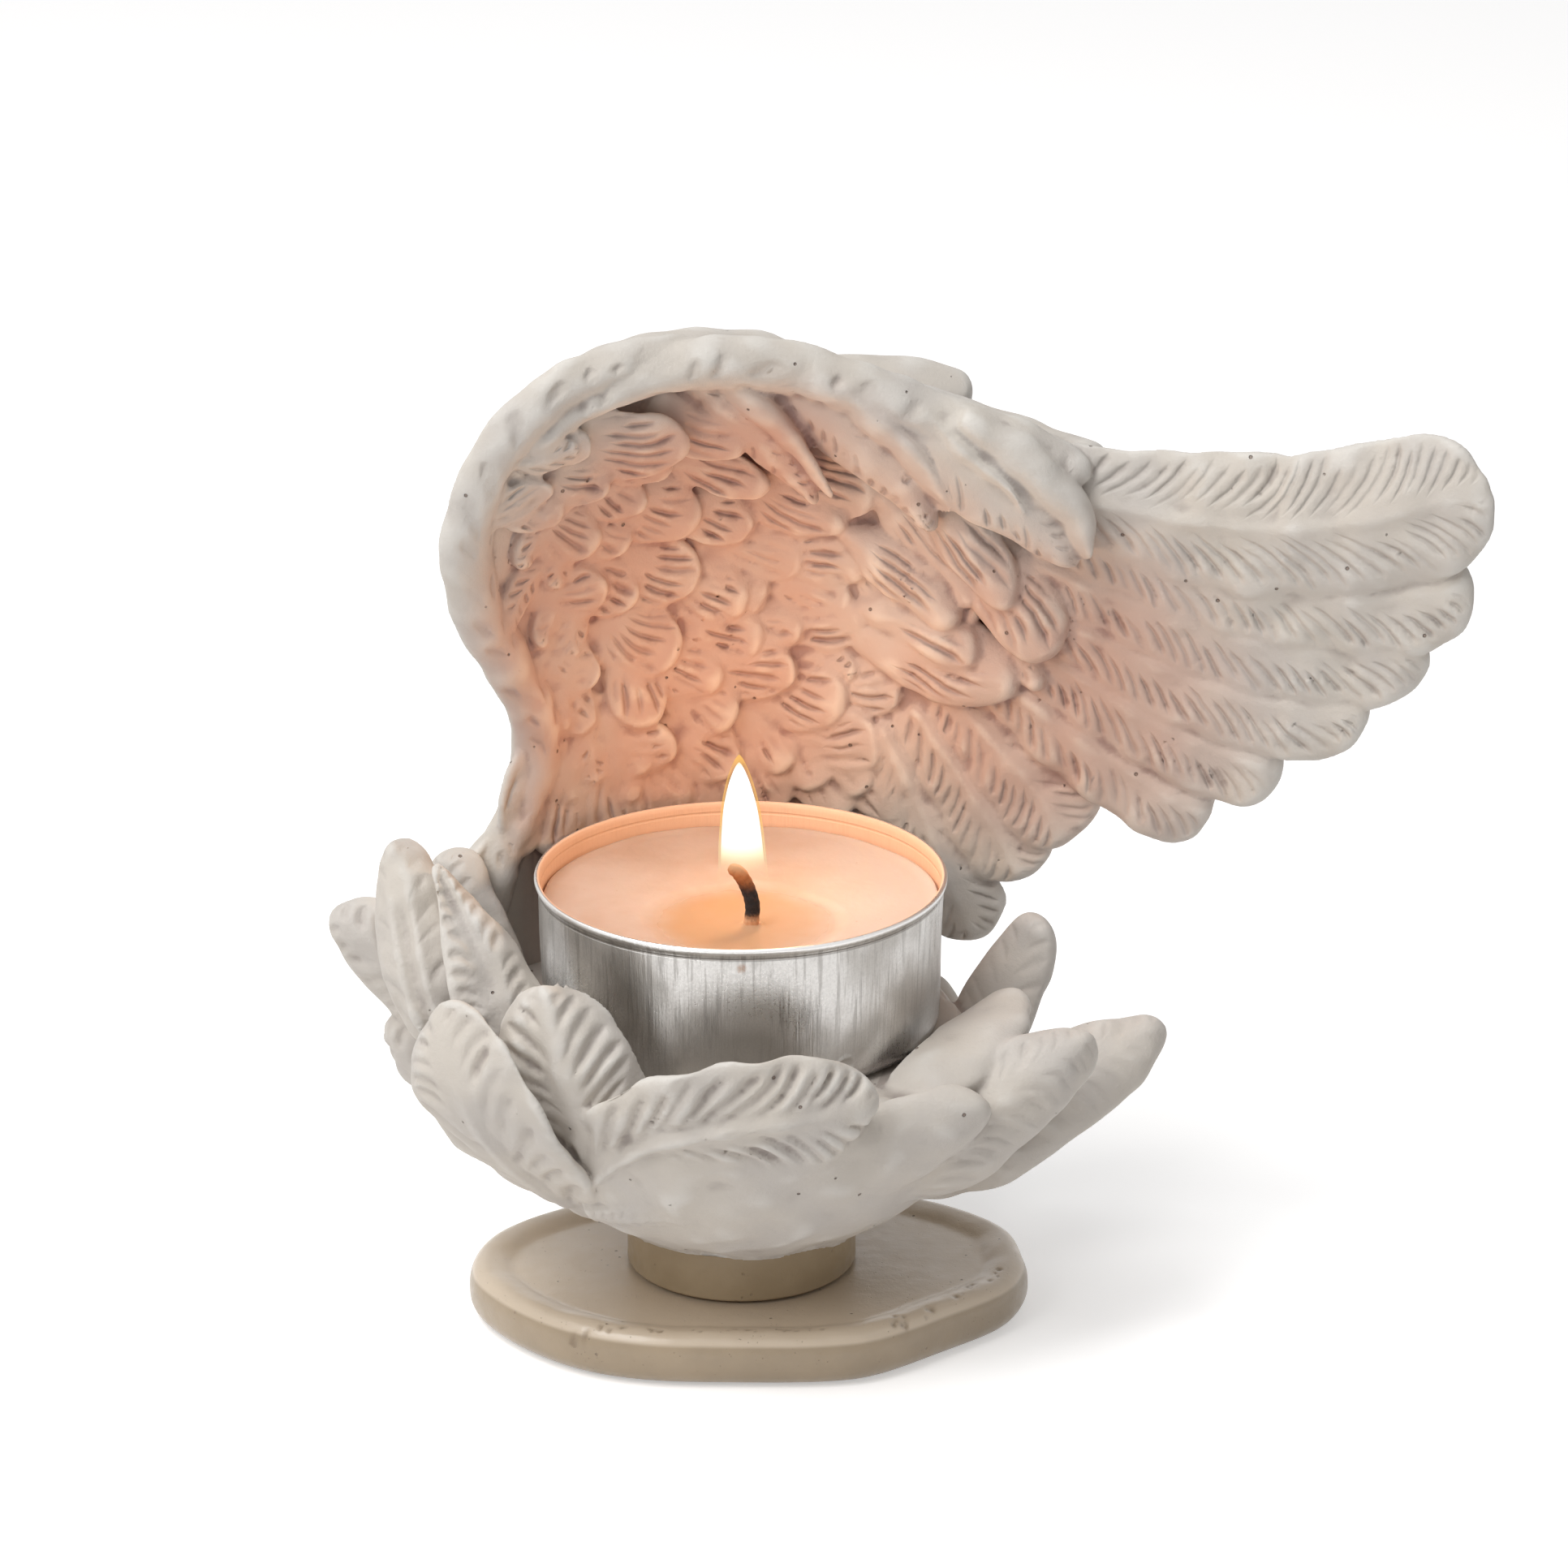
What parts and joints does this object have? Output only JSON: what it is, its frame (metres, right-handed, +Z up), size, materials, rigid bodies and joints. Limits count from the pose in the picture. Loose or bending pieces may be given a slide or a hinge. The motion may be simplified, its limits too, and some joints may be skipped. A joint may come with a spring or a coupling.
{
  "type": "angel candle holder",
  "caption": "Candle holder: a shallow bowl of carved feathers with one large wing behind it, on a collar and a pebble-shaped plate, holding a tealight in an aluminium cup.",
  "frame": {"origin": "centre of the collar on the plate's underside, below the tealight's axis", "axes": "+Z up, +X the way the wing sweeps out, +Y away from the viewer, towards the back of the wing"},
  "size_m": [0.1059, 0.0575, 0.0919],
  "materials": {
    "beige_stone": "satin beige cast stone with small pits",
    "beige_collar": "smooth satin beige",
    "casting_resin": "off-white matte cast resin with a pink wash inside the wing",
    "tealight_aluminium": "bare drawn aluminium with fine upright lines",
    "candle_wax": "soft peach wax with an amber melt pool",
    "clip_steel": "plain tinned steel",
    "charred_cotton": "charred cotton"
  },
  "bodies": {
    "root": {"base_plate": "beige_stone", "collar": "beige_collar", "winged_bowl": "casting_resin", "tealight_cup": "tealight_aluminium", "wax": "candle_wax", "wick_clip": "clip_steel", "wick": "charred_cotton"}
  },
  "joints": []
}
